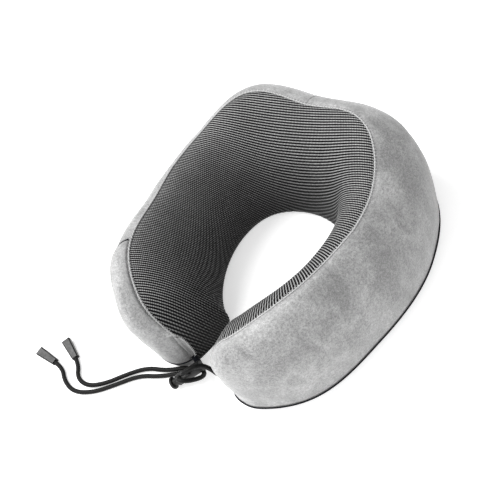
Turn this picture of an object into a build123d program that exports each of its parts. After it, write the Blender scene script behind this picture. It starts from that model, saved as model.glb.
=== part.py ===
from build123d import *
import os
from math import cos, degrees, hypot, pi, radians, sin, sqrt, tan

# U shaped memory-foam neck pillow. Millimetres, +Z up, floor at z = 0.
# +Y is the back of the neck, the two tips close towards -Y. The origin is the centre of
# the pillow's footprint.

# ---- plan of the U: a spine curve, with phi = 0 at the middle of the back ----
SPINE_A = 90.0          # half width of the spine
SPINE_B = 106.0         # half length of the spine
SPINE_SWELL = 15.0      # pushes the sides of the spine back
SPINE_Y = -17.0         # puts the footprint's centre on the origin
TIP_PHI = 166.0         # where a tip ends
ROUND_PHI = 154.0       # where a tip starts to round off
SPINE_END = 0.93        # share of the sweep that the plain solids cover
STATIONS = 23           # sections along the U

# ---- section, at these angles from the middle of the back ----
STATION_PHI = (0.0, 35.0, 70.0, 105.0, 135.0, 160.0)
INNER_REACH = (40.0, 40.0, 39.0, 39.0, 41.0, 45.0)
OUTER_REACH = (41.0, 52.0, 38.0, 29.0, 33.0, 24.0)
HEIGHT = (115.0, 119.0, 103.0, 101.0, 106.0, 87.0)
CREST_LEAN = (2.0, 8.0, 0.0, 1.0, 12.0, 19.0)
SEAM_PSI = (97.0, 92.0, 85.0, 95.0, 100.0, 106.0)
WIDEST_Z = 15.0         # level of the widest part of the section
OUTER_POWER = 1.25      # above 1 the wall leans in straight, below 1 it bulges
INNER_POWER = 1.0
CREST_POWER = 0.9
TIP_HEIGHT = 0.45       # share of the height left where a tip ends
FOOT_SHARE = 0.86       # half width of the flat foot, as a share of the widest part
FOOT_DROP = 4.0         # how far the loft runs below the floor before it is trimmed

# ---- layers, from outside to inside ----
COVER_T = 2.0
LINER_T = 1.0
LAYER_GAP = 0.4
BASE_WRAP = 8.0         # how far the base panel wraps up the wall
MESH_PHI = 165.5        # past the tips, so the neck panel runs on to each flat end
LINER_SLIT = 120.0      # mouth in the liner's foot, where the foam goes in

PIPING_R = 1.3
PIPING_PHI = 160.0      # where the rim piping ends at a tip
BASE_PIPING_R = 1.0
BASE_PIPING_PHI = 160.0
PIPING_SINK = 0.5       # how deep the piping sits in its seam
FAR = 200.0             # beyond every side of the pillow

# ---- slanted pocket on the outside of the left arm's end ----
POCKET_TOP = (-72.0, -76.0, 100.0)     # the open edge, at the rim
POCKET_FOOT = (-88.0, -118.0, 12.0)    # the open edge, near the base
POCKET_FRONT_X = -38.0                 # where the pocket is sewn down towards the tip
POCKET_LOW = 10.0                      # where it is sewn down above the base panel
POCKET_T = 1.4
BINDING_W = 2.6
BINDING_T = 2.0

# ---- zip across the lower back wall ----
ZIP_HALF = 50.0
ZIP_Z = 16.0
ZIP_Y = 131.5
TAPE_T = 0.7
TAPE_H = 6.4
TAPE_SEAT = 6.0         # the tapes' padded facing reaches back to the wall
TEETH_PITCH = 2.0
COIL_W = 3.2
COIL_T = 1.6
SLIDER_LEN = 9.0
SLIDER_W = 7.6
SLIDER_T = 1.3
SLIDER_GAP = 0.35
PULL_LEN = 24.0
PULL_W = 5.0
PULL_T = 1.1
PULL_PIN_R = 0.9
PIVOT_RISE = 2.2

# ---- cords and their lock ----
CORD_R = 2.0
SOCKET_R = 2.05
SOCKET_DEEP = 6.0
CAP_LEN = 22.0
TAB = (9.0, 9.0, 6.0)   # length, height, thickness of a cord tab
TAB_Z = 5.5
LOCK_AT = Vector(-15.5, -134.0, 11.5)      # middle of the lock's cord holes
LOCK_AXIS = Vector(0.613, 0.731, 0.300).normalized()
LOCK_LEVEL = Vector(-0.766, 0.643, 0.0)
HOLE_TILT = 28.0        # the cord holes lean this far out of the upright, degrees
CORD_PITCH = 4.6        # the two cords' distance in the lock
HOLE_CLEAR = 0.25
BARREL_R = 5.0
BARREL_FRONT = -12.0
BARREL_REAR = 14.0
BORE_R = 3.6
STEM_R = 3.4
BORE_END = 12.4
STEM_END = 6.0
BUTTON_R = 5.6
BUTTON_T = 2.2
PRESS = 3.5
SPRING_R = 2.4
SPRING_WIRE = 0.28
SPRING_TURNS = 5

HOLE_UP = (LOCK_AXIS.cross(LOCK_LEVEL).normalized() * cos(radians(HOLE_TILT))
           - LOCK_LEVEL * sin(radians(HOLE_TILT))).normalized()
if HOLE_UP.Z < 0:
    HOLE_UP = HOLE_UP * -1


def station_value(values, phi):
    """Smooth curve through the section values, the same on both arms."""
    at = min(abs(phi), STATION_PHI[-1])
    k = max(i for i in range(len(STATION_PHI) - 1) if STATION_PHI[i] <= at)
    t = (at - STATION_PHI[k]) / (STATION_PHI[k + 1] - STATION_PHI[k])

    def slope(i):
        if i == 0:
            return 0.0
        if i == len(values) - 1:
            return (values[i] - values[i - 1]) / (STATION_PHI[i] - STATION_PHI[i - 1])
        return (values[i + 1] - values[i - 1]) / (STATION_PHI[i + 1] - STATION_PHI[i - 1])

    span = STATION_PHI[k + 1] - STATION_PHI[k]
    return ((2 * t**3 - 3 * t**2 + 1) * values[k] + (t**3 - 2 * t**2 + t) * span * slope(k)
            + (3 * t**2 - 2 * t**3) * values[k + 1] + (t**3 - t**2) * span * slope(k + 1))


def spine(phi):
    """Point of the spine and the level direction that leads outward from it."""
    a = radians(phi)
    at = Vector(SPINE_A * sin(a), SPINE_Y + SPINE_B * cos(a) + SPINE_SWELL * sin(a) ** 2, 0)
    along = Vector(SPINE_A * cos(a), -SPINE_B * sin(a) + 2 * SPINE_SWELL * sin(a) * cos(a), 0)
    outward = Vector(-along.Y, along.X, 0).normalized()
    return at, outward, along.normalized()


def roundness(phi, inset=0.0):
    """1 along the arm, falling to 0 at the very tip."""
    end = TIP_PHI - degrees(inset / SPINE_A)
    t = min(max((abs(phi) - ROUND_PHI) / (end - ROUND_PHI), 0.0), 1.0)
    return sqrt(max(1 - t * t, 0.0))


def power(value, exponent):
    return (1 if value >= 0 else -1) * abs(value) ** exponent


def dome_point(phi, psi, inset=0.0):
    """Outward distance and height of the upper surface; psi 0 is outside, 180 inside."""
    f = roundness(phi, inset)
    c = cos(radians(psi))
    s = max(sin(radians(psi)), 0.0)
    reach = station_value(OUTER_REACH if c >= 0 else INNER_REACH, phi) * f - inset
    rise = (station_value(HEIGHT, phi) - WIDEST_Z) * (TIP_HEIGHT + (1 - TIP_HEIGHT) * f) - inset
    lift = s**CREST_POWER
    out = reach * power(c, OUTER_POWER if c >= 0 else INNER_POWER)
    out += station_value(CREST_LEAN, phi) * f * lift**1.5
    return out, WIDEST_Z + rise * lift


def at_section(phi, out, height):
    base, outward, _ = spine(phi)
    return base + outward * out + Vector(0, 0, height)


def sweep_angles(inset=0.0, end=SPINE_END, count=STATIONS):
    """Section angles, closer together towards the tips."""
    tip = TIP_PHI - degrees(inset / SPINE_A)
    return [tip * sin(pi / 2 * end * (2 * i / (count - 1) - 1)) for i in range(count)]


def section_wire(phi, inset):
    """Flat-footed dome: a spline over the top, and a line under the foot."""
    inner = station_value(INNER_REACH, phi) * roundness(phi, inset) - inset
    outer = station_value(OUTER_REACH, phi) * roundness(phi, inset) - inset
    points = [at_section(phi, -inner * FOOT_SHARE, -FOOT_DROP)]
    for psi in (180, 168, 150, 132, 114, 98, 82, 66, 48, 30, 12, 0):
        points.append(at_section(phi, *dome_point(phi, psi, inset)))
    points.append(at_section(phi, outer * FOOT_SHARE, -FOOT_DROP))
    return Wire([Edge.make_spline(points), Edge.make_line(points[-1], points[0])])


def block(low, high):
    size = [b - a for a, b in zip(low, high)]
    return Pos(*[(a + b) / 2 for a, b in zip(low, high)]) * Box(*size)


def pillow_form(inset):
    """The whole U, drawn in by the inset and trimmed flat at the foot."""
    form = Solid.make_loft([section_wire(phi, inset) for phi in sweep_angles(inset)])
    return form & block((-FAR, -FAR, inset), (FAR, FAR, FAR))


def neck_side():
    """Everything on the neck's side of the seams: a fan from the core of each section."""
    wires = []
    for i in range(STATIONS):
        phi = MESH_PHI * sin(pi / 2 * (2 * i / (STATIONS - 1) - 1))
        seam_out, seam_z = dome_point(phi, station_value(SEAM_PSI, phi))
        inner = station_value(INNER_REACH, phi) * roundness(phi)
        core = (seam_out * 0.5 - 3.0, seam_z * 0.45)
        above = (seam_out + (seam_out - core[0]) * 0.4, seam_z + (seam_z - core[1]) * 0.4)
        foot = (-inner * 0.80, 0.0)
        below = (foot[0] + (foot[0] - core[0]) * 0.15, foot[1] + (foot[1] - core[1]) * 0.15)
        far = -inner - 9.0
        corners = [core, above, (far, above[1]), (far, below[1]), below]
        wires.append(Wire.make_polygon([at_section(phi, *c) for c in corners], close=True))
    return Solid.make_loft(wires, ruled=True)


def ring_loft(places, radius):
    """A round cord through places, each given as section angle, outward and height."""
    rings = []
    for phi, out, height in places:
        _, _, along = spine(phi)
        plane = Plane(origin=at_section(phi, out, height), z_dir=along)
        rings.append(Wire.make_circle(radius, plane))
    return Solid.make_loft(rings)


def surface_normal(phi, psi):
    """Outward and upward parts of the dome's normal within its section."""
    o1, z1 = dome_point(phi, psi - 2)
    o2, z2 = dome_point(phi, psi + 2)
    length = hypot(o2 - o1, z2 - z1)
    return (z2 - z1) / length, (o1 - o2) / length


def rim_piping():
    """Piping on the seam between the neck panel and the outer panels."""
    places = []
    for i in range(STATIONS):
        phi = PIPING_PHI * sin(pi / 2 * (2 * i / (STATIONS - 1) - 1))
        psi = station_value(SEAM_PSI, phi)
        out, height = dome_point(phi, psi)
        n_out, n_up = surface_normal(phi, psi)
        lift = PIPING_R - PIPING_SINK
        places.append((phi, out + n_out * lift, height + n_up * lift))
    return ring_loft(places, PIPING_R)


def base_piping():
    """Piping round the outside, where the base panel meets the wall."""
    places = []
    for i in range(STATIONS):
        phi = BASE_PIPING_PHI * sin(pi / 2 * (2 * i / (STATIONS - 1) - 1))
        out = station_value(OUTER_REACH, phi) * roundness(phi)
        places.append((phi, out + BASE_PIPING_R - PIPING_SINK, BASE_WRAP))
    return ring_loft(places, BASE_PIPING_R)


def pocket_side(shift=0.0):
    """Everything on the tip's side of the pocket's slanted open edge, moved by a shift."""
    top = Vector(*POCKET_TOP)
    foot = Vector(*POCKET_FOOT)
    edge = (foot - top).normalized()
    facing = Vector(-1, 0, 0).cross(edge).normalized()
    facing = facing if facing.Y < 0 else facing * -1
    plane = Plane(origin=top + facing * shift, x_dir=edge, z_dir=facing)
    region = extrude(plane * Rectangle(2 * FAR, 2 * FAR), amount=FAR)
    return region & block((-FAR, -FAR, POCKET_LOW), (POCKET_FRONT_X, 0, FAR))


def pocket_panel(wall_form, neck):
    """Second layer of velour over the end of the left arm, open towards the back."""
    sheet = (pillow_form(-POCKET_T) & pocket_side(BINDING_W)) - wall_form
    return largest(sheet - neck)


def pocket_binding(wall_form, neck):
    """Folded tape along the pocket's open edge."""
    sheet = (pillow_form(-BINDING_T) & pocket_side()) - pocket_side(BINDING_W)
    return largest(sheet - wall_form - neck)


def largest(shape):
    return max(shape.solids(), key=lambda solid: solid.volume)


def zip_tape(upper):
    """One side's tape with its facing, before the wall is cut out of it."""
    low = ZIP_Z + 0.1 if upper else ZIP_Z - 0.1 - TAPE_H
    return block((-ZIP_HALF, ZIP_Y - TAPE_SEAT, low), (ZIP_HALF, ZIP_Y + TAPE_T, low + TAPE_H))


def zip_coil():
    """Closed coil chain: a rib with a row of turns along it."""
    y = ZIP_Y + TAPE_T
    half = ZIP_HALF - 2.0
    low = ZIP_Z - COIL_W / 2
    high = ZIP_Z + COIL_W / 2
    rib = block((-half, y, low + 0.3), (half, y + COIL_T * 0.6, high - 0.3))
    turns = []
    for i in range(int(2 * half / TEETH_PITCH)):
        x = -half + TEETH_PITCH * (i + 0.5)
        turns.append(block((x - 0.5, y, low), (x + 0.5, y + COIL_T, high)))
    return rib.fuse(*turns)


def zip_stops():
    y = ZIP_Y + TAPE_T
    low = (-ZIP_HALF + 0.2, y, ZIP_Z - 2.2)
    high = (-ZIP_HALF + 1.8, y + 2.0, ZIP_Z + 2.2)
    left = fillet(block(low, high).edges().filter_by(Axis.Y), 0.5)
    return Compound(children=[left, Pos(2 * ZIP_HALF - 2.0, 0, 0) * left])


SLIDER_X = ZIP_HALF - 2.6 - SLIDER_LEN / 2
SLIDER_Y = ZIP_Y + TAPE_T + COIL_T + SLIDER_GAP
PIVOT_Y = SLIDER_Y + SLIDER_T + PIVOT_RISE


def zip_slider():
    """Front plate, two flanges beside the coil and the bridge that holds the pull."""
    x0 = SLIDER_X - SLIDER_LEN / 2
    x1 = SLIDER_X + SLIDER_LEN / 2
    low = (x0, SLIDER_Y, ZIP_Z - SLIDER_W / 2)
    high = (x1, SLIDER_Y + SLIDER_T, ZIP_Z + SLIDER_W / 2)
    plate = block(low, high)
    plate = fillet(plate.edges().filter_by(Axis.Y), 2.0)
    flange_y = ZIP_Y + TAPE_T + SLIDER_GAP
    parts = [plate]
    for side in (-1, 1):
        inner = ZIP_Z + side * (COIL_W / 2 + SLIDER_GAP)
        outer = ZIP_Z + side * (COIL_W / 2 + SLIDER_GAP + 1.0)
        low, high = sorted((inner, outer))
        parts.append(block((x0 + 1.5, flange_y, low), (x1 - 1.5, SLIDER_Y + 0.2, high)))
    # the bridge: two posts with a pin between them
    for side in (-1, 1):
        z = ZIP_Z + side * 2.2
        post = block((SLIDER_X - 1.3, SLIDER_Y + 1.0, z - 0.6), (SLIDER_X + 1.3, PIVOT_Y + 1.3, z + 0.6))
        parts.append(post)
    pin = Pos(SLIDER_X, PIVOT_Y, ZIP_Z) * Cylinder(PULL_PIN_R, 4.4)
    return parts[0].fuse(*parts[1:], pin)


def zip_pull():
    """Flat tab that swings on the slider's pin, lying along the chain at rest."""
    eye = Pos(SLIDER_X, PIVOT_Y, ZIP_Z) * Cylinder(PULL_PIN_R + 0.9, 2.8)
    neck = block((SLIDER_X - 6.0, PIVOT_Y - PULL_T / 2, ZIP_Z - 1.3),
                 (SLIDER_X - 1.2, PIVOT_Y + PULL_T / 2, ZIP_Z + 1.3))
    tab = block((SLIDER_X - PULL_LEN, PIVOT_Y - PULL_T / 2, ZIP_Z - PULL_W / 2),
                (SLIDER_X - 5.0, PIVOT_Y + PULL_T / 2, ZIP_Z + PULL_W / 2))
    tab = fillet(tab.edges().filter_by(Axis.Y), 1.8)
    slot = block((SLIDER_X - PULL_LEN + 2.5, PIVOT_Y - 2, ZIP_Z - 1.0),
                 (SLIDER_X - PULL_LEN + 9.0, PIVOT_Y + 2, ZIP_Z + 1.0))
    slot = fillet(slot.edges().filter_by(Axis.Y), 0.95)
    hole = Pos(SLIDER_X, PIVOT_Y, ZIP_Z) * Cylinder(PULL_PIN_R + 0.08, 6)
    return eye.fuse(neck, tab) - slot - hole


def lock_point(along):
    return LOCK_AT + LOCK_AXIS * along


def lock_rod(radius, start, end):
    plane = Plane(origin=lock_point(start), z_dir=LOCK_AXIS)
    return extrude(plane * Circle(radius), amount=end - start)


def cord_slot(low, high, half_width):
    """Oblong hole across the lock, between two places on its axis."""
    plane = Plane(origin=lock_point((low + high) / 2), x_dir=LOCK_AXIS, z_dir=HOLE_UP)
    return extrude(plane * SlotOverall(high - low, 2 * half_width), amount=12, both=True)


def lock_barrel():
    reach = CORD_PITCH / 2 + CORD_R + HOLE_CLEAR
    body = lock_rod(BARREL_R, BARREL_FRONT, BARREL_REAR)
    body = fillet(body.edges().filter_by(GeomType.CIRCLE), 0.9)
    body -= lock_rod(BORE_R, BARREL_FRONT - 1, BORE_END)
    return body - cord_slot(-reach, reach, CORD_R + HOLE_CLEAR)


def lock_plunger():
    """Stem with an oblong hole, and the button that stands out of the barrel."""
    reach = CORD_PITCH / 2 + CORD_R + HOLE_CLEAR
    stem = lock_rod(STEM_R, BARREL_FRONT - PRESS - 0.5, STEM_END)
    button = lock_rod(BUTTON_R, BARREL_FRONT - PRESS - 0.2 - BUTTON_T, BARREL_FRONT - PRESS - 0.2)
    button = fillet(button.edges().filter_by(GeomType.CIRCLE), 0.7)
    return stem.fuse(button) - cord_slot(-reach - PRESS, reach, CORD_R + HOLE_CLEAR)


def lock_spring():
    """Coil spring between the stem and the barrel's closed end."""
    gap = 0.1
    length = BORE_END - STEM_END - 2 * (gap + SPRING_WIRE)
    start = STEM_END + gap + SPRING_WIRE
    helix = Edge.make_helix(length / SPRING_TURNS, length, SPRING_R)
    section = Plane(origin=helix @ 0, z_dir=helix % 0) * Circle(SPRING_WIRE)
    coil = sweep(section, path=helix, is_frenet=True)
    return Plane(origin=lock_point(start), z_dir=LOCK_AXIS).location * coil


def tab_frame(side):
    """Where a cord tab stands on the flat end of its tip, and which way it points."""
    phi = side * TIP_PHI * sin(pi / 2 * SPINE_END)
    base, _, along = spine(phi)
    return base + Vector(0, 0, TAB_Z), along * side


def cord_tab(side):
    """Folded fabric tab that holds a cord's end."""
    base, out = tab_frame(side)
    plane = Plane(origin=base + out * 0.05, x_dir=Vector(0, 0, 1), z_dir=out)
    tab = extrude(plane * RectangleRounded(TAB[1], TAB[2], 2.0), amount=TAB[0])
    hole = extrude(plane.offset(TAB[0]) * Circle(SOCKET_R), amount=-SOCKET_DEEP)
    return tab - hole


# Each cord's route: the corners of its path, from its tab through the lock to its cap.
def cord_start(side, reach=TAB[0] - SOCKET_DEEP + 0.3):
    """A point on a tab's axis; by default the cord's end in the tab's socket."""
    base, out = tab_frame(side)
    return base + out * reach


def in_lock(along, up):
    return LOCK_AT + LOCK_AXIS * along + HOLE_UP * up


ROUTE_LEFT = [
    cord_start(-1),
    cord_start(-1, 16.5),
    Vector(-0.1, -130.9, 13.1),
    Vector(-3.0, -143.9, 28.6),
    in_lock(-CORD_PITCH / 2, 20.5),
    in_lock(-CORD_PITCH / 2, -9.3),
    Vector(-28.8, -135.9, 2.2),
    Vector(-43.2, -146.4, 2.2),
    Vector(-62.0, -154.5, 2.1),
    Vector(-78.0, -172.0, 2.1),
    Vector(-93.0, -187.0, 2.1),
    Vector(-111.0, -195.5, 2.1),
    Vector(-127.0, -192.0, 2.1),
    Vector(-139.0, -182.5, 2.4),
    Vector(-154.6, -182.0, 3.2),
]
ROUTE_RIGHT = [
    cord_start(1),
    cord_start(1, 12.1),
    Vector(2.1, -124.2, 27.2),
    Vector(-2.6, -133.9, 35.1),
    in_lock(CORD_PITCH / 2, 20.5),
    in_lock(CORD_PITCH / 2, -9.3),
    Vector(-26.3, -129.0, 2.2),
    Vector(-41.6, -139.5, 2.2),
    Vector(-60.0, -145.5, 2.1),
    Vector(-74.5, -159.5, 2.1),
    Vector(-87.0, -174.5, 2.1),
    Vector(-102.0, -185.0, 2.1),
    Vector(-117.0, -184.0, 2.1),
    Vector(-125.5, -172.5, 2.4),
    Vector(-137.3, -167.5, 3.2),
]


def cord_tube(name, route):
    """Straight runs joined by tangent arcs, each arc as large as its runs allow."""
    runs = [(b - a).length for a, b in zip(route, route[1:])]
    radii = []
    for i in range(1, len(route) - 1):
        turn = (route[i] - route[i - 1]).get_angle(route[i + 1] - route[i])
        radii.append(0.45 * min(runs[i - 1], runs[i]) / tan(radians(turn / 2)))
        print(name, i, "run", round(runs[i - 1], 1), "turn", round(turn, 1),
              "radius", round(radii[-1], 1))
    path = FilletPolyline(*route, radius=radii)
    section = Plane(origin=path @ 0, z_dir=path % 0) * Circle(CORD_R)
    tube = sweep(section, path=path)
    print(name, "length", round(path.length, 1), "volume ratio",
          round(tube.volume / (pi * CORD_R**2 * path.length), 4))
    return tube


def cord_cap(route):
    """Tapered rectangular cord end, with the cord's socket in its narrow end."""
    out = (route[-1] - route[-2]).normalized()
    start = route[-1] - out * (SOCKET_DEEP - 0.3)
    plane = Plane(origin=start, x_dir=out.cross(Vector(0, 0, 1)), z_dir=out)
    narrow = plane * RectangleRounded(6.4, 5.2, 1.2)
    wide = plane.offset(CAP_LEN) * RectangleRounded(8.6, 6.2, 1.4)
    cap = loft([narrow, wide])
    return cap - extrude(plane * Circle(SOCKET_R), amount=SOCKET_DEEP)


def inner_liner():
    """Thin knit bag round the foam, with a slit in its foot."""
    outside = COVER_T + LAYER_GAP
    bag = pillow_form(outside) - pillow_form(outside + LINER_T)
    slit_y = SPINE_Y + SPINE_B
    return bag - block((-LINER_SLIT / 2, slit_y - 1, 0), (LINER_SLIT / 2, slit_y + 1, 6))


def build():
    form = pillow_form(0.0)
    cover = form - pillow_form(COVER_T)
    neck = neck_side()
    wall = cover - neck
    above = block((-FAR, -FAR, BASE_WRAP), (FAR, FAR, FAR))
    left = block((-FAR, -FAR, BASE_WRAP), (0, FAR, FAR))
    right = block((0, -FAR, BASE_WRAP), (FAR, FAR, FAR))
    return {
        "foam_core": pillow_form(COVER_T + LINER_T + 2 * LAYER_GAP),
        "inner_liner": inner_liner(),
        "neck_panel": cover & neck,
        "outer_panel_left": wall & left,
        "outer_panel_right": wall & right,
        "base_panel": wall - above,
        "rim_piping": rim_piping() - form,
        "base_piping": base_piping() - form,
        "pocket_panel": pocket_panel(form, neck) - rim_piping(),
        "pocket_binding": pocket_binding(form, neck) - rim_piping(),
        "zip_tape_upper": zip_tape(True) - form,
        "zip_tape_lower": zip_tape(False) - form,
        "zip_coil": zip_coil(),
        "zip_stops": zip_stops(),
        "zip_slider": zip_slider(),
        "zip_pull": zip_pull(),
        "cord_tab_left": cord_tab(-1),
        "cord_tab_right": cord_tab(1),
        "cord_left": cord_tube("cord_left", ROUTE_LEFT),
        "cord_right": cord_tube("cord_right", ROUTE_RIGHT),
        "cord_cap_left": cord_cap(ROUTE_LEFT),
        "cord_cap_right": cord_cap(ROUTE_RIGHT),
        "lock_barrel": lock_barrel(),
        "lock_plunger": lock_plunger(),
        "lock_spring": lock_spring(),
    }


os.makedirs("parts", exist_ok=True)
for node, shape in build().items():
    export_step(shape, f"parts/{node}.step")
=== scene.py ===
import math

import bpy
import numpy as np
from mathutils import Matrix, Vector


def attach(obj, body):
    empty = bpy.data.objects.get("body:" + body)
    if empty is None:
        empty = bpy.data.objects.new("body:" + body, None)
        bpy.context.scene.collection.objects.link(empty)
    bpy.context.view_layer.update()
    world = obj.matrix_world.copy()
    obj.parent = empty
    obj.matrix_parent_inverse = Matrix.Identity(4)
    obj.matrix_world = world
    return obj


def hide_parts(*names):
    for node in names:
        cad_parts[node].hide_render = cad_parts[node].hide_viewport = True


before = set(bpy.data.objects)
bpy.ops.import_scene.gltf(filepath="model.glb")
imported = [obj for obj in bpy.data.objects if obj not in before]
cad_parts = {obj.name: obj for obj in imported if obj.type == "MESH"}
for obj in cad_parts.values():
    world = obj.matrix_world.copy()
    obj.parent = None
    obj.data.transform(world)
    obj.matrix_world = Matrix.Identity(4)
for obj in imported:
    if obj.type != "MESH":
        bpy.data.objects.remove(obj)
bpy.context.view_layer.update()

# All shapes are worked out in millimetres and written to meshes in metres.
MM = 0.001

# ---- the pillow's form: the same driving sizes as the frame ----
SPINE_A = 90.0
SPINE_B = 106.0
SPINE_SWELL = 15.0
SPINE_Y = -17.0
TIP_PHI = 166.0
ROUND_PHI = 154.0
STATION_PHI = np.array((0.0, 35.0, 70.0, 105.0, 135.0, 160.0))
INNER_REACH = np.array((40.0, 40.0, 39.0, 39.0, 41.0, 45.0))
OUTER_REACH = np.array((41.0, 52.0, 38.0, 29.0, 33.0, 24.0))
HEIGHT = np.array((115.0, 119.0, 103.0, 101.0, 106.0, 87.0))
CREST_LEAN = np.array((2.0, 8.0, 0.0, 1.0, 12.0, 19.0))
SEAM_PSI = np.array((97.0, 92.0, 85.0, 95.0, 100.0, 106.0))
WIDEST_Z = 15.0
OUTER_POWER = 1.25
CREST_POWER = 0.9
TIP_HEIGHT = 0.45
FOOT_SHARE = 0.86
BASE_WRAP = 8.0         # level where the base panel meets the wall
SEAM_TURN = 0.975       # share of an arm where the seam starts to turn down the tip's end
SEAM_END = 0.9985       # and where it has reached the foot
BASE_PSI = math.degrees(math.asin((BASE_WRAP - WIDEST_Z) / WIDEST_Z))

# ---- cloth ----
COVER_INSET = 1.0       # the cover lies this far inside the form between its seams
COVER_BOW = 0.5         # power that rounds the panels' cross-section towards their seams
SEAM_DEPTH = 1.1        # how deep the seams pull in, and over what width
SEAM_WIDTH = 2.6
WALL_PINCH = 0.4        # shares of that depth at the rim, the neck panel and the base
NECK_PINCH = 0.8
BASE_PINCH = 0.6
PUCKERS = ((0.35, 34, 3), (0.12, 11, 4))   # height, size and seed of the wall's unevenness
NECK_PUCKER = (0.3, 40, 8)
PANEL_T = 1.2

# ---- ribbed knit: ribs lie in slanted planes, beads run along them ----
RIBS_PER_DM = 43.5
RIB_RISE = 0.46         # how much height counts beside distance towards the back
RIB_SKEW = -0.17        # how far the knit runs off square
ARM_START_Y = 0.6
BEAD_PITCH = 1.5
RIB_HEIGHT = 0.42
BEAD_SKEW = 0.46
BEAD_RISE = -0.08
KNIT_STEP = 0.68
KNIT_ROWS = 200
RIB_FADE = 1.5          # the ribs flatten out over this distance from the seam
KNIT_LOWEST = 0.3

# ---- pocket on the left arm's end ----
POCKET_EDGE_PHI = 130.0 # where its open edge leaves the rim
POCKET_FRONT = 0.985    # share of the arm where it is sewn in at the tip
POCKET_TOP_PSI = 95.0   # the rim seam's angle at the pocket
POCKET_T = 1.3
POCKET_FULL = 1.1       # how much fuller it is at its open edge

# ---- zip ----
ZIP_HALF = 50.0
ZIP_Z = 16.0
ZIP_FACE_Y = 132.2
TAPE_H = 6.4

# ---- cord, in the frame's metres ----
CORD_D = 0.004
TAB_Z = 5.5
SPINE_END = 0.93
LOCK_AT = np.array((-15.5, -134.0, 11.5))
LOCK_AXIS = np.array((0.613, 0.731, 0.300))
LOCK_LEVEL = np.array((-0.766, 0.643, 0.0))
HOLE_TILT = 28.0
CORD_PITCH = 4.6


def unit(v):
    return v / np.linalg.norm(v, axis=-1, keepdims=True)


LOCK_AXIS = unit(LOCK_AXIS)
HOLE_UP = unit(unit(np.cross(LOCK_AXIS, LOCK_LEVEL)) * math.cos(math.radians(HOLE_TILT))
               - LOCK_LEVEL * math.sin(math.radians(HOLE_TILT)))


# =========================== the form ===========================
def station(values, phi):
    """Smooth curve through the section values, the same on both arms."""
    at = np.minimum(np.abs(phi), STATION_PHI[-1])
    k = np.clip(np.searchsorted(STATION_PHI, at, side="right") - 1, 0, len(values) - 2)
    slope = np.zeros(len(values))
    slope[1:-1] = (values[2:] - values[:-2]) / (STATION_PHI[2:] - STATION_PHI[:-2])
    slope[-1] = (values[-1] - values[-2]) / (STATION_PHI[-1] - STATION_PHI[-2])
    span = STATION_PHI[k + 1] - STATION_PHI[k]
    t = (at - STATION_PHI[k]) / span
    return ((2 * t**3 - 3 * t**2 + 1) * values[k] + (t**3 - 2 * t**2 + t) * span * slope[k]
            + (3 * t**2 - 2 * t**3) * values[k + 1] + (t**3 - t**2) * span * slope[k + 1])


def spine(phi):
    """Spine point, outward direction and direction along the U, each in the plan."""
    a = np.radians(phi)
    at = np.stack([SPINE_A * np.sin(a),
                   SPINE_Y + SPINE_B * np.cos(a) + SPINE_SWELL * np.sin(a) ** 2], -1)
    along = unit(np.stack([SPINE_A * np.cos(a),
                           -SPINE_B * np.sin(a) + 2 * SPINE_SWELL * np.sin(a) * np.cos(a)], -1))
    return at, np.stack([-along[..., 1], along[..., 0]], -1), along


def tip_end(inset=0.0):
    return TIP_PHI - math.degrees(inset / SPINE_A)


def roundness(phi, inset=0.0):
    t = np.clip((np.abs(phi) - ROUND_PHI) / (tip_end(inset) - ROUND_PHI), 0, 1)
    return np.sqrt(np.maximum(1 - t * t, 0))


def surface(phi, psi, inset=0.0):
    """Point of the pillow's skin. Psi -90 is the outer foot, 0 the outer side, 90 the crest,
    180 the neck side and 270 the inner foot."""
    phi, psi = np.broadcast_arrays(np.asarray(phi, float), np.asarray(psi, float))
    f = roundness(phi, inset)
    c = np.cos(np.radians(psi))
    s = np.sin(np.radians(psi))
    outside = c >= 0
    reach = np.where(outside, station(OUTER_REACH, phi), station(INNER_REACH, phi)) * f
    reach = np.maximum(reach - inset, 0)
    lift = np.maximum(s, 0) ** CREST_POWER
    rise = (station(HEIGHT, phi) - WIDEST_Z) * (TIP_HEIGHT + (1 - TIP_HEIGHT) * f) - inset
    dome = reach * np.sign(c) * np.abs(c) ** np.where(outside, OUTER_POWER, 1.0)
    dome = dome + station(CREST_LEAN, phi) * f * lift**1.5
    foot = reach * np.sign(c) * (FOOT_SHARE + (1 - FOOT_SHARE) * np.abs(c))
    out = np.where(s >= 0, dome, foot)
    height = np.where(s >= 0, WIDEST_Z + rise * lift, WIDEST_Z + (WIDEST_Z - inset) * s)
    base, outward, _ = spine(phi)
    return np.concatenate([base + outward * out[..., None], height[..., None]], -1)


def smooth_step(t):
    t = np.clip(t, 0, 1)
    return t * t * (3 - 2 * t)


def arm_share(phi):
    """How far along its arm a section is: 0 at the middle of the back, 1 at the tip's end."""
    return np.arcsin(np.clip(np.abs(phi) / TIP_PHI, 0, 1)) * 2 / math.pi


def seam_psi(phi):
    """The seam round the neck panel: along the crest, then down the end of each tip."""
    turn = smooth_step((arm_share(phi) - SEAM_TURN) / (SEAM_END - SEAM_TURN))
    return station(SEAM_PSI, phi) * (1 - turn) + (180 - BASE_PSI) * turn


def wall_psi(phi, w):
    return BASE_PSI + w * (seam_psi(phi) - BASE_PSI)


def neck_psi(phi, w):
    return seam_psi(phi) + w * (270 - seam_psi(phi))


def tip_spaced(count, low=-1.0, high=1.0, inset=0.0):
    """Section angles that close up towards the tips."""
    return tip_end(inset) * np.sin(math.pi / 2 * np.linspace(low, high, count))


# =========================== mesh helpers ===========================
def grid_faces(columns, rows, close_rows=False):
    i = np.arange(columns - 1)[:, None]
    j = np.arange(rows if close_rows else rows - 1)[None]
    a = i * rows + j
    b = i * rows + (j + 1) % rows
    return np.stack([a, b, b + rows, a + rows], -1).reshape(-1, 4)


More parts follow.
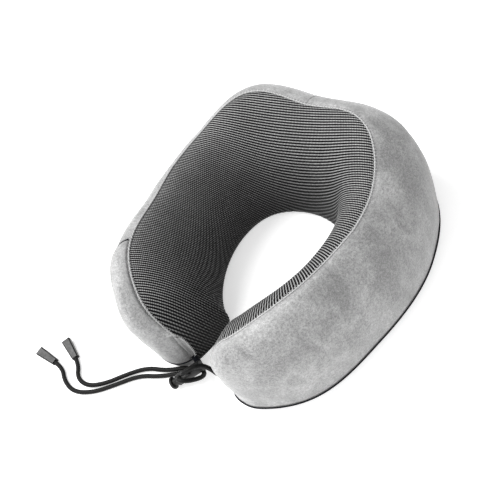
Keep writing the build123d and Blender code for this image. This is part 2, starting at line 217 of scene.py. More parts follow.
def make_mesh(name, points, faces):
    """Object with smooth faces from points in millimetres."""
    points = np.asarray(points, float).reshape(-1, 3) * MM
    faces = [f.tolist() for f in faces] if isinstance(faces, list) else faces.tolist()
    mesh = bpy.data.meshes.new(name)
    mesh.from_pydata(points.tolist(), [], faces)
    mesh.polygons.foreach_set("use_smooth", np.ones(len(mesh.polygons), bool))
    mesh.update()
    obj = bpy.data.objects.new(name, mesh)
    bpy.context.scene.collection.objects.link(obj)
    return obj


def apply_modifiers(obj):
    mesh = bpy.data.meshes.new_from_object(
        obj.evaluated_get(bpy.context.evaluated_depsgraph_get()))
    old = obj.data
    obj.modifiers.clear()
    obj.data = mesh
    bpy.data.meshes.remove(old)
    obj.data.name = obj.name
    return obj


def thicken(obj, thickness):
    solid = obj.modifiers.new("thickness", "SOLIDIFY")
    solid.thickness = thickness * MM
    solid.offset = -1.0
    solid.use_even_offset = False
    return apply_modifiers(obj)


def grid_normals(points):
    """Outward normals of a grid of columns and rows."""
    across = np.gradient(points, axis=1)
    along = np.gradient(points, axis=0)
    return unit(np.cross(across, along) + 1e-12)


def ripple(points, size, seed):
    """Smooth seeded unevenness from -1 to 1, with features of about this size."""
    random = np.random.default_rng(seed)
    total = np.zeros(points.shape[:-1])
    for _ in range(14):
        direction = unit(random.normal(size=3)) * 2 * math.pi / (size * random.uniform(0.7, 1.8))
        total += np.sin(points @ direction + random.uniform(0, 2 * math.pi))
    return np.clip(total / 5.0, -1, 1)


def frames_along(path):
    """Tangent and two turning-free cross directions at each point of a path."""
    tangent = unit(np.gradient(path, axis=0))
    side = np.zeros_like(path)
    start = np.cross(tangent[0], (0.0, 0.0, 1.0))
    if np.linalg.norm(start) < 1e-3:
        start = np.cross(tangent[0], (0.0, 1.0, 0.0))
    side[0] = unit(start)
    for i in range(1, len(path)):
        s = side[i - 1] - tangent[i] * (side[i - 1] @ tangent[i])
        side[i] = unit(s)
    return tangent, side, np.cross(tangent, side)


def tube(name, path, radius, segments=10, bump=None):
    """Round piece along a path, closed at both ends. Bump adds to the radius."""
    path = np.asarray(path, float)
    _, side, up = frames_along(path)
    angle = np.arange(segments) * 2 * math.pi / segments
    radii = np.full((len(path), segments), float(radius))
    if bump is not None:
        radii += bump(np.arange(len(path))[:, None], angle[None])
    ring = (np.cos(angle)[None, :, None] * side[:, None]
            + np.sin(angle)[None, :, None] * up[:, None]) * radii[..., None]
    points = (path[:, None] + ring).reshape(-1, 3)
    faces = list(grid_faces(len(path), segments, True))
    last = (len(path) - 1) * segments
    faces.append(np.arange(segments)[::-1])
    faces.append(last + np.arange(segments))
    return make_mesh(name, points, faces)


def capsules(name, starts, ends, radius, segments=6):
    """Many short rounded threads in one piece, such as a row of stitches."""
    axis = unit(ends - starts)
    helper = np.where(np.abs(axis[:, 2:3]) < 0.9, [[0.0, 0.0, 1.0]], [[1.0, 0.0, 0.0]])
    side = unit(np.cross(axis, helper))
    up = np.cross(axis, side)
    angle = np.arange(segments) * 2 * math.pi / segments
    shape = ((0.0, 0.35), (0.12, 0.85), (0.35, 1.0), (0.65, 1.0), (0.88, 0.85), (1.0, 0.35))
    rings = []
    for along, share in shape:
        centre = starts + (ends - starts) * along
        ring = (np.cos(angle)[None, :, None] * side[:, None]
                + np.sin(angle)[None, :, None] * up[:, None]) * radius * share
        rings.append(centre[:, None] + ring)
    points = np.stack(rings, 1).reshape(-1, 3)
    one = list(grid_faces(len(shape), segments, True))
    one.append(np.arange(segments)[::-1])
    one.append((len(shape) - 1) * segments + np.arange(segments))
    size = len(shape) * segments
    faces = [f + size * i for i in range(len(starts)) for f in one]
    return make_mesh(name, points, faces)


def resample(path, step):
    """Evenly spaced points along a path."""
    lengths = np.concatenate([[0], np.cumsum(np.linalg.norm(np.diff(path, axis=0), axis=1))])
    at = np.linspace(0, lengths[-1], max(2, int(round(lengths[-1] / step)) + 1))
    return np.stack([np.interp(at, lengths, path[:, k]) for k in range(3)], -1)


# =========================== camera ===========================
SENSOR = 36.0
CAMERA_AT = (0.2860, -0.2113, 0.4916)
CAMERA_AIM = (0.0, -0.017, 0.060)
CAMERA_ROLL = -28.0
CAMERA_LENS = 48.84
CAMERA_SHIFT = (-0.0283, -0.0154)


def make_camera():
    data = bpy.data.cameras.new("camera")
    data.lens = CAMERA_LENS
    data.sensor_width = SENSOR
    data.shift_x, data.shift_y = CAMERA_SHIFT
    data.clip_start = 0.01
    camera = bpy.data.objects.new("camera", data)
    bpy.context.scene.collection.objects.link(camera)
    look = Vector(CAMERA_AIM) - Vector(CAMERA_AT)
    turn = look.to_track_quat("-Z", "Y").to_matrix()
    roll = Matrix.Rotation(math.radians(CAMERA_ROLL), 3, "Z")
    camera.matrix_world = Matrix.Translation(CAMERA_AT) @ (turn @ roll).to_4x4()
    bpy.context.scene.camera = camera


make_camera()


# =========================== cords ===========================
def tab_frame(side):
    phi = side * TIP_PHI * math.sin(math.pi / 2 * SPINE_END)
    base, _, along = spine(np.array(phi))
    return np.array((*base, TAB_Z)), np.array((*along, 0.0)) * side


def cord_start(side, reach=3.3):
    base, out = tab_frame(side)
    return base + out * reach


def in_lock(along, up):
    return LOCK_AT + LOCK_AXIS * along + HOLE_UP * up


ROUTES = {
    "left": [
        cord_start(-1),
        cord_start(-1, 16.5),
        (-0.1, -130.9, 13.1),
        (-3.0, -143.9, 28.6),
        in_lock(-CORD_PITCH / 2, 20.5),
        in_lock(-CORD_PITCH / 2, -9.3),
        (-28.8, -135.9, 2.2),
        (-43.2, -146.4, 2.2),
        (-62.0, -154.5, 2.1),
        (-78.0, -172.0, 2.1),
        (-93.0, -187.0, 2.1),
        (-111.0, -195.5, 2.1),
        (-127.0, -192.0, 2.1),
        (-139.0, -182.5, 2.4),
        (-154.6, -182.0, 3.2),
    ],
    "right": [
        cord_start(1),
        cord_start(1, 12.1),
        (2.1, -124.2, 27.2),
        (-2.6, -133.9, 35.1),
        in_lock(CORD_PITCH / 2, 20.5),
        in_lock(CORD_PITCH / 2, -9.3),
        (-26.3, -129.0, 2.2),
        (-41.6, -139.5, 2.2),
        (-60.0, -145.5, 2.1),
        (-74.5, -159.5, 2.1),
        (-87.0, -174.5, 2.1),
        (-102.0, -185.0, 2.1),
        (-117.0, -184.0, 2.1),
        (-125.5, -172.5, 2.4),
        (-137.3, -167.5, 3.2),
    ],
}
BRAID_STEP = 0.55
BRAID_SIDES = 24
BRAID_LIFT = 0.13
BRAID_TURNS = 0.145     # turns per millimetre of one strand


def cord_line(name, route):
    """The cord's centreline, read from a spline with the route's points as control points."""
    curve = bpy.data.curves.new(name, "CURVE")
    curve.dimensions = "3D"
    spline = curve.splines.new("NURBS")
    spline.points.add(len(route) - 1)
    for point, at in zip(spline.points, route):
        point.co = (*(float(x) * MM for x in at), 1.0)
    spline.order_u = 3
    spline.use_endpoint_u = True
    spline.resolution_u = 24
    holder = bpy.data.objects.new(name, curve)
    bpy.context.scene.collection.objects.link(holder)
    dg = bpy.context.evaluated_depsgraph_get()
    line = bpy.data.meshes.new_from_object(holder.evaluated_get(dg))
    points = np.array([v.co for v in line.vertices], float) / MM
    bpy.data.objects.remove(holder)
    bpy.data.meshes.remove(line)
    return resample(points, BRAID_STEP)


def braid(ring, angle):
    """Two families of strands that cross over and under each other."""
    along = ring * BRAID_STEP * BRAID_TURNS * 2 * math.pi
    one = np.cos(4 * (angle + along))
    two = np.cos(4 * (angle - along))
    return BRAID_LIFT * (np.maximum(one, two) - 0.75)


def make_cord(side):
    line = cord_line(f"line_{side}", ROUTES[side])
    cord = tube(f"braided_cord_{side}", line, CORD_D / 2 / MM, BRAID_SIDES, braid)
    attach(cord, "pillow")
    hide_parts(f"cord_{side}")
    return cord, line


cords = {side: make_cord(side) for side in ROUTES}


# =========================== the cover's form ===========================
def pinch(distance):
    """How far a seam pulls the cloth in, at this distance from it."""
    return SEAM_DEPTH * np.exp(-(distance / SEAM_WIDTH) ** 2)


def row_distance(points, row):
    """Distance of each point from its column's point in the given row."""
    return np.linalg.norm(points - points[:, [row]], axis=-1)


def bow(w):
    """1 in the middle of a panel, 0 at its two seams."""
    return np.sin(math.pi * np.clip(w, 0, 1)) ** COVER_BOW


def wall_rise(bare, w, to_rim, to_foot):
    """How far the velour stands out of the form: uneven, drawn in, and pulled in at its seams."""
    uneven = sum(height * ripple(bare, size, seed) for height, size, seed in PUCKERS)
    pulled = WALL_PINCH * pinch(to_rim) + BASE_PINCH * pinch(to_foot)
    return (uneven - COVER_INSET) * bow(w) - pulled


def wall_points(phi, w):
    """The velour wall on a grid whose columns each keep one section angle."""
    bare = surface(phi, wall_psi(phi, w))
    rise = wall_rise(bare, w, row_distance(bare, -1), row_distance(bare, 0))
    return bare + grid_normals(bare) * rise[..., None]


def wall_points_free(phi, w, extra):
    """The wall's points where columns do not share a section angle, raised by an extra height."""
    phi_step = 0.15
    w_step = 0.004
    bare = surface(phi, wall_psi(phi, w))
    along = surface(phi + phi_step, wall_psi(phi, w)) - surface(phi - phi_step, wall_psi(phi, w))
    across = (surface(phi, wall_psi(phi, np.clip(w + w_step, 0, 1)))
              - surface(phi, wall_psi(phi, np.clip(w - w_step, 0, 1))))
    rim = surface(phi, seam_psi(phi))
    foot = surface(phi, np.full_like(phi, BASE_PSI))
    rise = wall_rise(bare, w, np.linalg.norm(bare - rim, axis=-1), np.linalg.norm(bare - foot, axis=-1))
    return bare + unit(np.cross(across, along)) * (rise + extra)[..., None]


# =========================== cover panels ===========================
WALL_STEP = 1.3
WALL_FINE_ROWS = 64


def outer_panel(side):
    """Velour from the middle of the back to one tip, round which it wraps."""
    phi = seam_path(WALL_STEP)[0]
    phi = np.concatenate([[0.0], phi[phi > 0.5], [tip_spaced(2, 0.0, 0.9998)[1]]])
    phi = (-phi[::-1] if side == "left" else phi)[:, None]
    w = np.linspace(0, 1, WALL_FINE_ROWS)[None]
    points = wall_points(phi, w)
    panel = make_mesh(f"velour_panel_{side}", points, grid_faces(len(phi), WALL_FINE_ROWS))
    thicken(panel, PANEL_T)
    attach(panel, "pillow")
    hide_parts(f"outer_panel_{side}")
    return panel


def rib_count(points):
    """Ribs passed from the origin. They lie straight at the back; the knit is stretched round
    the arms, so there they fan out and curve. Lengths are in decimetres."""
    x, y, z = (points[..., k] / 100 for k in range(3))
    arm = np.minimum(y - ARM_START_Y, 0)
    stretch = -22.9 - 11.0 * arm + 11.0 * x - 4.2 * z - 5.4 * x * z + 11.8 * x * x
    return RIBS_PER_DM * (y + RIB_RISE * z + RIB_SKEW * x) + stretch * arm**2


def seam_path(step, lift=0.0):
    """Points along the seam round the neck panel, and the directions out of it and across it."""
    phi = tip_spaced(4001, -SEAM_END, SEAM_END)
    at = surface(phi, seam_psi(phi))
    up = surface(phi, seam_psi(phi) - 1.0)
    along = unit(np.gradient(at, axis=0))
    outward = unit(np.cross(at - up, along))
    lengths = np.concatenate([[0], np.cumsum(np.linalg.norm(np.diff(at, axis=0), axis=1))])
    marks = np.linspace(0, lengths[-1], int(lengths[-1] / step) + 1)
    pick = [np.interp(marks, lengths, column) for column in
            (phi, *at.T, *outward.T, *along.T)]
    phi = pick[0]
    at, outward, along = (np.stack(pick[k:k + 3], -1) for k in (1, 4, 7))
    outward = unit(outward)
    return phi, at + outward * lift, outward, unit(along)


def neck_panel():
    """Ribbed knit over the neck side, with real ribs, its edge turned in under the piping."""
    phi = seam_path(KNIT_STEP)[0][:, None]
    w = np.linspace(0, 1, KNIT_ROWS)[None]
    bare = surface(phi, neck_psi(phi, w))
    normal = grid_normals(bare)
    away = row_distance(bare, 0)
    height, size, seed = NECK_PUCKER
    rise = (height * ripple(bare, size, seed) - COVER_INSET) * bow(w) - NECK_PINCH * pinch(away)
    ribs = rib_count(bare)
    wave = 0.5 + 0.5 * np.cos(2 * math.pi * ribs)
    raised = RIB_HEIGHT * wave * np.clip(away / RIB_FADE, 0, 1)
    points = bare + normal * (rise + raised)[..., None]
    points[..., 2] = np.maximum(points[..., 2], KNIT_LOWEST)
    rows = [points[:, :1] - normal[:, :1] * PANEL_T, points, points[:, -1:] + (0, 0, PANEL_T)]
    rows[2] = rows[2] - normal[:, -1:] * (1, 1, 0) * PANEL_T
    points = np.concatenate(rows, 1)
    panel = make_mesh("ribbed_neck_panel", points, grid_faces(len(phi), points.shape[1]))
    ribs = np.concatenate([ribs[:, :1], ribs, ribs[:, -1:]], 1)
    panel.data.attributes.new("ribs", "FLOAT", "POINT").data.foreach_set("value", ribs.ravel())
    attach(panel, "pillow")
    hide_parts("neck_panel")
    return panel


def base_panel():
    """Smooth fabric under the U, wrapped up outside and round the tips."""
    phi = tip_spaced(401)[:, None]
    outer = np.linspace(BASE_PSI, -90, 12)[None]
    outside = surface(phi, outer)
    turned = smooth_step((arm_share(phi) - SEAM_END) / 0.001)
    inner = 270 - np.linspace(0, 1, 10)[None] * (90 + BASE_PSI) * turned
    inside = surface(phi, inner)
    share = np.linspace(0, 1, 14)[None, 1:-1, None]
    under = outside[:, -1:] * (1 - share) + inside[:, :1] * share
    points = np.concatenate([outside, under, inside], 1)[:, ::-1]
    panel = make_mesh("base_fabric_panel", points, grid_faces(len(phi), points.shape[1]))
    thicken(panel, 1.0)
    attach(panel, "pillow")
    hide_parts("base_panel")
    return panel


def inner_form(name, node, inset, thickness=None):
    """The foam, or the bag round it, under the cover."""
    phi = tip_spaced(121, -0.97, 0.97, inset)[:, None]
    psi = np.linspace(-90, 270, 61)[None]
    skin = surface(phi, psi, inset)
    share = np.linspace(0, 1, 9)[None, 1:-1, None]
    under = skin[:, -1:] * (1 - share) + skin[:, :1] * share
    points = np.concatenate([skin, under], 1)
    rows = points.shape[1]
    faces = list(grid_faces(len(phi), rows, True))
    faces.append(np.arange(rows)[::-1])
    faces.append((len(phi) - 1) * rows + np.arange(rows))
    form = make_mesh(name, points, faces)
    if thickness:
        thicken(form, thickness)
    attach(form, "pillow")
    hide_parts(node)
    return form


# =========================== seams and trims ===========================
RIM_R = 0.6
RIM_LIFT = -0.25
BASE_PIPING_R = 0.6
BASE_PIPING_LIFT = -0.25
STITCH_STEP = 2.7
STITCH_R = 0.24


def rim_piping():
    _, path, _, _ = seam_path(1.1, RIM_LIFT)
    piping = tube("rim_piping_cord", path, RIM_R, 12,
                  lambda ring, angle: 0.07 * np.cos(3 * angle + ring * 1.25))
    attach(piping, "pillow")
    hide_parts("rim_piping")
    return piping


def rim_stitches():
    """Slanted thread stitches over the seam."""
    _, at, outward, along = seam_path(STITCH_STEP)
    across = np.cross(along, outward)
    lean = unit(across + 0.45 * along)
    high = at + outward * (RIM_R * 0.95)
    stitches = capsules("rim_stitches", high - lean * 1.5, high + lean * 1.5, STITCH_R)
    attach(stitches, "pillow")
    return stitches


def base_seam_path(lift):
    """Round the outside at the base seam, from one tip's end to the other's."""
    path = resample(surface(tip_spaced(720, -0.999, 0.999), BASE_PSI), 1.6)
    outward = unit(np.cross((0.0, 0.0, 1.0), np.gradient(path, axis=0)))
    return path - outward * lift


def base_piping():
    piping = tube("base_piping_cord", base_seam_path(BASE_PIPING_LIFT), BASE_PIPING_R, 10)
    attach(piping, "pillow")
    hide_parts("base_piping")
    return piping


# =========================== pocket ===========================
def solve_phi(test, low, high, shape):
    """Section angle between low and high where the test changes sign, by halving."""
    a = np.full(shape, float(low))
    b = np.full(shape, float(high))
    for _ in range(40):
        middle = (a + b) / 2
        past = test(middle) > 0
        a = np.where(past, middle, a)
        b = np.where(past, b, middle)
    return (a + b) / 2


def pocket_grid(columns, rows):
    """Section angles and wall shares from the open edge round to the tip's end."""
    v = np.linspace(0.012, 0.985, rows)
    drop = (POCKET_TOP_PSI - BASE_PSI) * (1 - v)
    edge = -(POCKET_EDGE_PHI + 0.21 * drop - 0.0007 * drop**2)
    front = np.full_like(v, float(-tip_spaced(2, 0.0, POCKET_FRONT)[1]))
    u = np.linspace(0, 1, columns)[:, None]
    phi = edge[None] + u * (front - edge)[None]
    return phi, np.broadcast_to(v[None], (columns, rows)), u, v[None]


def pocket_panel():
    """Second layer of velour, fuller towards its open edge."""
    phi, w, u, v = pocket_grid(70, 70)
    rim = np.minimum(1, (1 - u) / 0.12) * np.minimum(1, v / 0.06) * np.minimum(1, (1 - v) / 0.05)
    full = POCKET_FULL * np.sin(math.pi * v) * (1 - u) ** 1.5
    points = wall_points_free(phi, w, (POCKET_T + full) * rim ** 0.5 + 0.1)
    panel = make_mesh("pocket_velour", points[::-1], grid_faces(*points.shape[:2]))
    thicken(panel, 0.9)
    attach(panel, "pillow")
    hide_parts("pocket_panel")
    return panel


def pocket_binding():
    """Dark tape folded over the pocket's open edge; its dark line is painted shadow, standing in for
    the shade under that edge.
    """
    phi, w, _, _ = pocket_grid(2, 90)
    path = wall_points_free(phi[:1], w[:1], POCKET_T + 0.1)[0]
    edge_shadow_tape = tube("pocket_shadow_tape", resample(path, 1.2), 0.5, 10)
    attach(edge_shadow_tape, "pillow")
    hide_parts("pocket_binding")
    return edge_shadow_tape


# =========================== zip ===========================
def back_wall(x, z):
    """Skin point at the back with this x and height."""
    high = max(z - WIDEST_Z, 0.0)

    def psi(phi):
        rise = station(HEIGHT, phi) - WIDEST_Z
        up = np.degrees(np.arcsin(np.clip((high / rise) ** (1 / CREST_POWER), 0, 1)))
        return up if z >= WIDEST_Z else np.full_like(
            phi, math.degrees(math.asin((z - WIDEST_Z) / WIDEST_Z)))

    phi = solve_phi(lambda p: x - surface(p, psi(p))[..., 0], -80, 80, x.shape)
    return surface(phi, psi(phi))


def zip_tape(name, upper):
    """Woven tape from the coil down to the wall it is sewn to."""
    sign = 1 if upper else -1
    x = np.linspace(-ZIP_HALF, ZIP_HALF, 101)
    wall = back_wall(x, ZIP_Z + sign * TAPE_H)
    wall[:, 1] += 0.5
    inner = np.stack([x, np.full_like(x, ZIP_FACE_Y - 0.45),
                      np.full_like(x, ZIP_Z + sign * 0.15)], -1)
    share = np.linspace(0, 1, 12)[None, :, None]
    points = inner[:, None] * (1 - share) + wall[:, None] * share
    points[..., 1] += 0.5 * np.sin(math.pi * share[..., 0]) * (share[..., 0] < 0.999)
    points = points if upper else points[:, ::-1]
    tape = make_mesh(name, points[:, ::-1], grid_faces(101, 12))
    thicken(tape, 0.55)
    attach(tape, "pillow")
    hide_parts(name.replace("woven_", ""))
    return tape


def zip_stitches():
    """A row of stitches along each tape's sewn edge."""
    x = np.arange(-ZIP_HALF + 2, ZIP_HALF - 2, 3.2)
    rows = []
    for sign in (-1, 1):
        for shift in (0.0, 2.1):
            at = back_wall(x + shift, ZIP_Z + sign * (TAPE_H - 1.2))
            at[:, 1] += 0.95
            rows.append(at)
    starts = np.concatenate([rows[0], rows[2]])
    ends = np.concatenate([rows[1], rows[3]])
    stitches = capsules("zip_stitches", starts, ends, 0.2)
    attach(stitches, "pillow")
    return stitches


# =========================== cord tabs ===========================
# Rings from the seam out to the cord: distance, half height, half width, squareness.
TAB_RINGS = ((-1.5, 4.3, 2.6, 0.5), (0.8, 4.4, 2.7, 0.5), (3.0, 4.3, 2.7, 0.55), (5.5, 3.9, 2.7, 0.6),
             (7.6, 3.2, 2.7, 0.8), (8.7, 2.6, 2.5, 1.0), (9.0, 2.15, 2.15, 1.0))
TAB_SIDES = 28


def cord_tab(side_name, side):
    """Folded tab of tape sewn into the tip's seam, pinched round the cord."""
    base, out = tab_frame(side)
    level = np.cross(out, (0.0, 0.0, 1.0))
    angle = np.arange(TAB_SIDES) * 2 * math.pi / TAB_SIDES
    rings = []
    for along, high, wide, power in TAB_RINGS:
        c = np.sign(np.cos(angle)) * np.abs(np.cos(angle)) ** power
        s = np.sign(np.sin(angle)) * np.abs(np.sin(angle)) ** power
        rings.append(base + out * along + level * (wide * c)[:, None]
                     + np.array((0, 0, 1.0)) * (high * s)[:, None])
    points = np.stack(rings)
    faces = list(grid_faces(len(rings), TAB_SIDES, True))
    faces.append(np.arange(TAB_SIDES)[::-1])
    faces.append((len(rings) - 1) * TAB_SIDES + np.arange(TAB_SIDES))
    tab = make_mesh(f"folded_tab_{side_name}", points, faces)
    smooth = tab.modifiers.new("smooth", "SUBSURF")
    smooth.levels = smooth.render_levels = 1
    apply_modifiers(tab)
    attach(tab, "pillow")
    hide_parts(f"cord_tab_{side_name}")
    return tab


# =========================== materials ===========================
class Nodes:
    """One material's node tree, with short calls to add to it."""

    def __init__(self, name, **shader):
        self.material = bpy.data.materials.new(name)
        self.material.use_nodes = True
        self.tree = self.material.node_tree
        self.shader = self.tree.nodes["Principled BSDF"]
        for socket, value in shader.items():
            self.shader.inputs[socket.replace("_", " ")].default_value = value
        self.place = self.tree.nodes.new("ShaderNodeTexCoord").outputs["Object"]

    def set_input(self, node, socket, value):
        if isinstance(value, bpy.types.NodeSocket):
            self.tree.links.new(value, node.inputs[socket])
        else:
            node.inputs[socket].default_value = value

    def math(self, operation, a, b=0.0, c=0.0):
        node = self.tree.nodes.new("ShaderNodeMath")
        node.operation = operation
        for k, value in enumerate((a, b, c)):
            self.set_input(node, k, value)
        return node.outputs[0]

    def noise(self, size_mm, detail=3.0, rough=0.55, place=None, distortion=0.0):
        node = self.tree.nodes.new("ShaderNodeTexNoise")
        self.set_input(node, "Vector", place or self.place)
        node.inputs["Scale"].default_value = 1000.0 / size_mm
        node.inputs["Detail"].default_value = detail
        node.inputs["Roughness"].default_value = rough
        node.inputs["Distortion"].default_value = distortion
        return node.outputs["Fac"]

    def voronoi(self, size_mm):
        node = self.tree.nodes.new("ShaderNodeTexVoronoi")
        self.set_input(node, "Vector", self.place)
        node.inputs["Scale"].default_value = 1000.0 / size_mm
        return node.outputs["Distance"]

    def scaled(self, x, y, z):
        node = self.tree.nodes.new("ShaderNodeVectorMath")
        node.operation = "MULTIPLY"
        self.set_input(node, 0, self.place)
        node.inputs[1].default_value = (x, y, z)
        return node.outputs[0]

    def along(self, x, y, z):
        """Place measured along one direction, in metres."""
        node = self.tree.nodes.new("ShaderNodeVectorMath")
        node.operation = "DOT_PRODUCT"
        self.set_input(node, 0, self.place)
        node.inputs[1].default_value = (x, y, z)
        return node.outputs["Value"]

    def attribute(self, name):
        node = self.tree.nodes.new("ShaderNodeAttribute")
        node.attribute_name = name
        return node.outputs["Fac"]

    def spread(self, value, low, high, to_low=0.0, to_high=1.0):
        node = self.tree.nodes.new("ShaderNodeMapRange")
        node.interpolation_type = "SMOOTHSTEP"
        for k, v in enumerate((value, low, high, to_low, to_high)):
            self.set_input(node, k, v)
        return node.outputs[0]

    def wave(self, place, pitch_mm):
        """Cosine wave from 0 to 1 along a place in metres."""
        turned = self.math("MULTIPLY_ADD", place, 2 * math.pi * 1000 / pitch_mm, 0.0)
        return self.math("MULTIPLY_ADD", self.math("COSINE", turned), 0.5, 0.5)

    def mix(self, factor, low, high):
        node = self.tree.nodes.new("ShaderNodeMix")
        node.data_type = "RGBA"
        self.set_input(node, "Factor", factor)
        for name, value in (("A", low), ("B", high)):
            socket = next(s for s in node.inputs if s.name == name and s.type == "RGBA")
            if isinstance(value, bpy.types.NodeSocket):
                self.tree.links.new(value, socket)
            else:
                socket.default_value = (*value, 1.0)
        return next(s for s in node.outputs if s.type == "RGBA")

    def level(self, value):
        """Grey colour of this level."""
        node = self.tree.nodes.new("ShaderNodeCombineColor")
        for socket in node.inputs:
            self.set_input(node, socket.name, value)
        return node.outputs[0]

    def color(self, value):
        self.set_input(self.shader, "Base Color", value)

    def rough(self, value):
        self.set_input(self.shader, "Roughness", value)

    def bump(self, height, depth_mm):
        node = self.tree.nodes.new("ShaderNodeBump")
        node.inputs["Strength"].default_value = 1.0
        node.inputs["Distance"].default_value = depth_mm * MM
        self.set_input(node, "Height", height)
        self.tree.links.new(node.outputs[0], self.shader.inputs["Normal"])


def grey(value, tint=0.0):
    return (value * (1 - tint), value, value * (1 + tint))


def velour():
    m = Nodes("velour_pile", Specular_IOR_Level=0.25, Sheen_Weight=0.5, Sheen_Roughness=0.4)
    smudge = m.noise(46, 3, 0.6, distortion=0.6)
    stroke = m.noise(17, 4, 0.62, m.scaled(1.0, 1.0, 0.45), 0.8)
    grain = m.noise(2.0, 4, 0.75)
    fibre = m.noise(0.8, 2, 0.7)
    tone = m.math("ADD", m.math("MULTIPLY", smudge, 0.5), m.math("MULTIPLY", stroke, 0.5))
    base = m.spread(tone, 0.36, 0.66, 0.29, 0.46)
    speck = m.math("ADD", m.math("MULTIPLY", grain, 0.55), m.math("MULTIPLY", fibre, 0.45))
    m.color(m.level(m.math("MULTIPLY", base, m.spread(speck, 0.34, 0.66, 0.62, 1.28))))
    m.rough(m.spread(stroke, 0.2, 0.8, 0.78, 0.95))
    m.bump(speck, 0.5)
    return m.material


def neck_knit():
    m = Nodes("ribbed_knit", Specular_IOR_Level=0.12, Sheen_Weight=0.03, Sheen_Roughness=0.4)
    drift = m.math("MULTIPLY_ADD", m.noise(12, 2), 0.16, -0.08)
    rib = m.wave(m.math("ADD", m.attribute("ribs"), drift), 1000.0)
    bead = m.wave(m.along(1.0, BEAD_SKEW, BEAD_RISE), BEAD_PITCH)
    # The colour follows the ribs' relief: tops and beads light, the gaps between them near black. That
    # is partly the knit's own darker gaps and partly painted shade in the grooves.
    raised = m.math("MULTIPLY", rib, m.math("MULTIPLY_ADD", bead, 0.42, 0.58))
    top = m.spread(raised, 0.36, 0.84)
    yarn = m.noise(0.5, 3, 0.6)
    bright = m.math("MULTIPLY", m.spread(yarn, 0.3, 0.7, 0.30, 0.66),
                    m.spread(m.noise(30, 2), 0.3, 0.7, 0.85, 1.0))
    # Painted shade: the knit's colour is darkened towards the floor, to 0.16 at the foot and full from
    # 105 mm up, standing in for the shade deep inside the U.
    painted_depth_shade = m.spread(m.along(0.0, 0.0, 1.0), 0.0, 0.105, 0.16, 1.0)
    tone = m.math("MULTIPLY_ADD", m.math("MULTIPLY", top, bright), painted_depth_shade, 0.003)
    m.color(m.level(tone))
    m.rough(m.spread(yarn, 0.2, 0.8, 0.62, 0.85))
    m.bump(m.math("ADD", raised, m.math("MULTIPLY", yarn, 0.25)), 0.35)
    return m.material


def woven(name, dark, light, pitch_mm, depth_mm, roughness=0.85, sheen=0.15):
    """Plain weave from two crossing waves, with uneven yarn."""
    m = Nodes(name, Specular_IOR_Level=0.2, Sheen_Weight=sheen, Sheen_Roughness=0.5)
    warp = m.wave(m.along(0.86, 0.5, 0.25), pitch_mm)
    weft = m.wave(m.along(-0.5, 0.86, 0.75), pitch_mm)
    weave = m.math("MULTIPLY", m.math("ADD", warp, weft), 0.5)
    uneven = m.noise(9, 3)
    tone = m.math("ADD", m.math("MULTIPLY", weave, 0.6), m.math("MULTIPLY", uneven, 0.4))
    m.color(m.mix(m.spread(tone, 0.2, 0.8), dark, light))
    m.rough(m.spread(uneven, 0.2, 0.8, roughness - 0.08, roughness + 0.08))
    m.bump(m.math("ADD", weave, m.math("MULTIPLY", m.noise(0.6), 0.4)), depth_mm)
    return m.material


def braided_cord():
    m = Nodes("black_braid", Specular_IOR_Level=0.18, Sheen_Weight=0.02, Sheen_Roughness=0.4)
    yarn = m.noise(0.35, 3, 0.65)
    strand = m.voronoi(0.9)
    tone = m.math("ADD", m.math("MULTIPLY", yarn, 0.6), m.math("MULTIPLY", strand, 0.4))
    m.color(m.mix(m.spread(tone, 0.25, 0.75), grey(0.002), grey(0.009)))
    m.rough(m.spread(yarn, 0.2, 0.8, 0.42, 0.65))
    m.bump(tone, 0.12)
    return m.material


def moulded(name, dark, light, low_rough, high_rough, grain_mm, depth_mm):
    """Moulded plastic with a faint surface texture and scuffs."""
    m = Nodes(name, Specular_IOR_Level=0.3)
    scuff = m.noise(7, 4, 0.65, distortion=0.5)
    grain = m.noise(grain_mm, 2)
    m.color(m.mix(m.spread(scuff, 0.35, 0.75), dark, light))
    m.rough(m.spread(scuff, 0.3, 0.7, low_rough, high_rough))
    m.bump(grain, depth_mm)
    return m.material


def metal(name, dark, light, low_rough, high_rough):
    m = Nodes(name, Metallic=1.0)
    scratch = m.noise(2.2, 4, 0.6, m.scaled(0.25, 1.0, 4.0))
    m.color(m.mix(m.spread(scratch, 0.3, 0.7), dark, light))
    m.rough(m.spread(scratch, 0.3, 0.7, low_rough, high_rough))
    m.bump(scratch, 0.03)
    return m.material


def foam():
    m = Nodes("memory_foam", Subsurface_Weight=0.1)
    cells = m.voronoi(0.8)
    patch = m.noise(20)
    tone = m.math("ADD", m.math("MULTIPLY", cells, 0.7), m.math("MULTIPLY", patch, 0.4))
    m.color(m.mix(m.spread(tone, 0.1, 0.8), (0.62, 0.58, 0.46), (0.85, 0.82, 0.70)))
    m.rough(m.spread(patch, 0.3, 0.7, 0.85, 0.98))
    m.bump(cells, 0.35)
    return m.material


def thread():
    """Light piping cloth and sewing thread."""
    m = Nodes("light_piping", Sheen_Weight=0.3, Sheen_Roughness=0.5)
    twist = m.wave(m.along(0.7, 0.6, 0.55), 0.9)
    fuzz = m.noise(0.6, 3, 0.6)
    tone = m.math("ADD", m.math("MULTIPLY", twist, 0.4), m.math("MULTIPLY", fuzz, 0.6))
    m.color(m.mix(m.spread(tone, 0.25, 0.75), grey(0.34), grey(0.66)))
    m.rough(m.spread(fuzz, 0.2, 0.8, 0.75, 0.92))
    m.bump(tone, 0.15)
    return m.material


def paint(obj, material):
    obj.data.materials.clear()
    obj.data.materials.append(material)


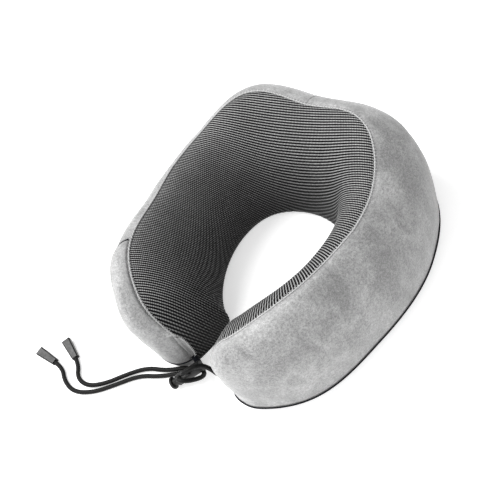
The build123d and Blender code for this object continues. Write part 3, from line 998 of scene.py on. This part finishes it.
# =========================== build ===========================
panels = [outer_panel("left"), outer_panel("right")]
neck = neck_panel()
base = base_panel()
foam_piece = inner_form("foam_core_block", "foam_core", 5.4)
liner_piece = inner_form("liner_bag", "inner_liner", 4.2, 0.7)
rim = rim_piping()
stitches = rim_stitches()
base_cord = base_piping()
pocket = pocket_panel()
pocket_shadow_line = pocket_binding()
tapes = [zip_tape("woven_zip_tape_upper", True), zip_tape("woven_zip_tape_lower", False)]
tape_thread = zip_stitches()
tabs = [cord_tab("left", -1), cord_tab("right", 1)]

velour_material = velour()
dark_trim = woven("dark_trim_cloth", (0.003, 0.003, 0.005), (0.012, 0.013, 0.020),
                  0.9, 0.12, 0.8, 0.03)
light_thread = thread()
tape_material = woven("zip_tape_cloth", (0.020, 0.022, 0.027), (0.065, 0.070, 0.082), 0.8, 0.12)
for piece in [*panels, pocket]:
    paint(piece, velour_material)
for piece in (rim, stitches):
    paint(piece, light_thread)
# The pocket's edge tape takes the dark trim as painted shadow of the pocket's open edge.
for piece in [base_cord, pocket_shadow_line, *tabs]:
    paint(piece, dark_trim)
for piece in [*tapes, tape_thread]:
    paint(piece, tape_material)
paint(neck, neck_knit())
paint(base, woven("base_cloth", grey(0.16), grey(0.27), 0.8, 0.10, 0.8, 0.25))
paint(foam_piece, foam())
paint(liner_piece, woven("liner_cloth", grey(0.55), grey(0.78), 1.1, 0.15))
cord_material = braided_cord()
for cord, _ in cords.values():
    paint(cord, cord_material)

FINISHES = {
    moulded("cap_plastic", grey(0.003), grey(0.010), 0.22, 0.38, 0.6, 0.01):
        ("cord_cap_left", "cord_cap_right"),
    moulded("lock_plastic", grey(0.008), grey(0.020), 0.32, 0.5, 0.35, 0.04):
        ("lock_barrel", "lock_plunger"),
    moulded("coil_nylon", grey(0.02), grey(0.05), 0.35, 0.5, 0.5, 0.03): ("zip_coil",),
    metal("gunmetal", grey(0.10), grey(0.22), 0.28, 0.48): ("zip_stops", "zip_slider", "zip_pull"),
    metal("spring_wire", grey(0.45), grey(0.62), 0.2, 0.35): ("lock_spring",),
}
for material, nodes in FINISHES.items():
    for node in nodes:
        paint(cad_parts[node], material)

for side, (cord, line) in cords.items():
    far_pieces = [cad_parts[f"cord_cap_{side}"]]
    if side == "left":
        far_pieces += [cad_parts[n] for n in ("lock_barrel", "lock_plunger", "lock_spring")]


# =========================== stage ===========================
FLOOR_GLOW = 0.5
WORLD_LIGHT = 0.55
KEY_POWER = 22.0
FILL_POWER = 8.0


def make_floor():
    bpy.ops.mesh.primitive_plane_add(size=8.0, location=(0, 0, 0))
    floor = bpy.context.object
    floor.name = "floor"
    m = Nodes("floor_paper")
    m.color(m.mix(m.spread(m.noise(400), 0.3, 0.7), grey(0.88), grey(0.90)))
    m.rough(m.spread(m.noise(250), 0.3, 0.7, 0.85, 0.95))
    m.shader.inputs["Emission Color"].default_value = (1, 1, 1, 1)
    m.shader.inputs["Emission Strength"].default_value = FLOOR_GLOW
    paint(floor, m.material)


def soft_light(name, at, size, power, aim=(0, -0.02, 0.04)):
    data = bpy.data.lights.new(name, "AREA")
    data.shape = "DISK"
    data.size = size
    data.energy = power
    light = bpy.data.objects.new(name, data)
    bpy.context.scene.collection.objects.link(light)
    light.location = at
    light.rotation_euler = (Vector(aim) - Vector(at)).to_track_quat("-Z", "Y").to_euler()


def make_world():
    world = bpy.data.worlds.new("studio")
    world.use_nodes = True
    sky = world.node_tree.nodes["Background"]
    sky.inputs["Color"].default_value = (1, 1, 1, 1)
    sky.inputs["Strength"].default_value = WORLD_LIGHT
    bpy.context.scene.world = world


make_floor()
make_world()
soft_light("key", (-0.75, -0.35, 1.25), 0.9, KEY_POWER)
soft_light("fill", (0.2, -1.3, 0.9), 1.2, FILL_POWER)
bpy.context.scene.view_settings.view_transform = "Standard"
